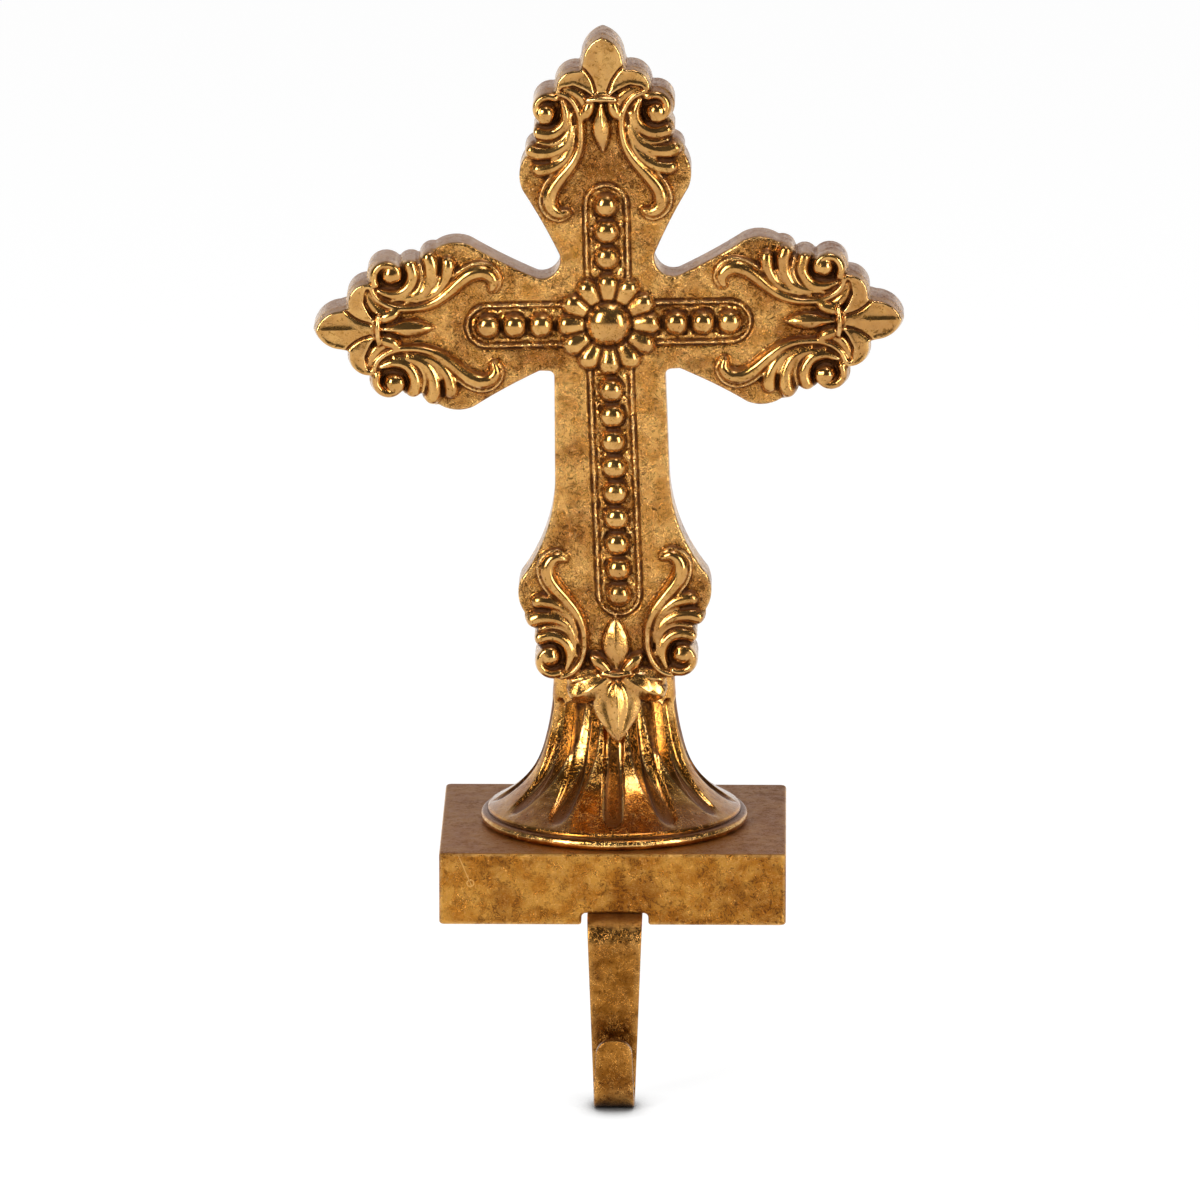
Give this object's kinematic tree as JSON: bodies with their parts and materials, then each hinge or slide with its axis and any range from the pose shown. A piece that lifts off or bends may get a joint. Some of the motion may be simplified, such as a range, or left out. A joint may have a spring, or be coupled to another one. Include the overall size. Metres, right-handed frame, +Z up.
{
  "type": "mantel stocking holder",
  "caption": "Mantel stocking holder: a cross in scrolled relief on a fluted flaring foot and a flat block, with a strap hook that hangs in front of the shelf.",
  "frame": {"origin": "centre of the block's footprint, on the underside of the felt pad that rests on the shelf", "axes": "+Z up, -Y towards the room and the hook, +X to the right as seen from the room"},
  "size_m": [0.173, 0.1039, 0.3106],
  "materials": {
    "gilt_casting": "burnished antique gold with dark brown in the hollows",
    "gilt_block": "dull mottled antique gold, worn and pitted",
    "gilt_strap": "dark antique gold over steel, scratched",
    "screw_steel": "zinc plated",
    "felt": "black felt"
  },
  "bodies": {
    "root": {"cross_casting": "gilt_casting", "base_block": "gilt_block", "hook_strap": "gilt_strap", "hook_screws": "screw_steel", "pedestal_screw": "screw_steel", "felt_pad": "felt"}
  },
  "joints": []
}
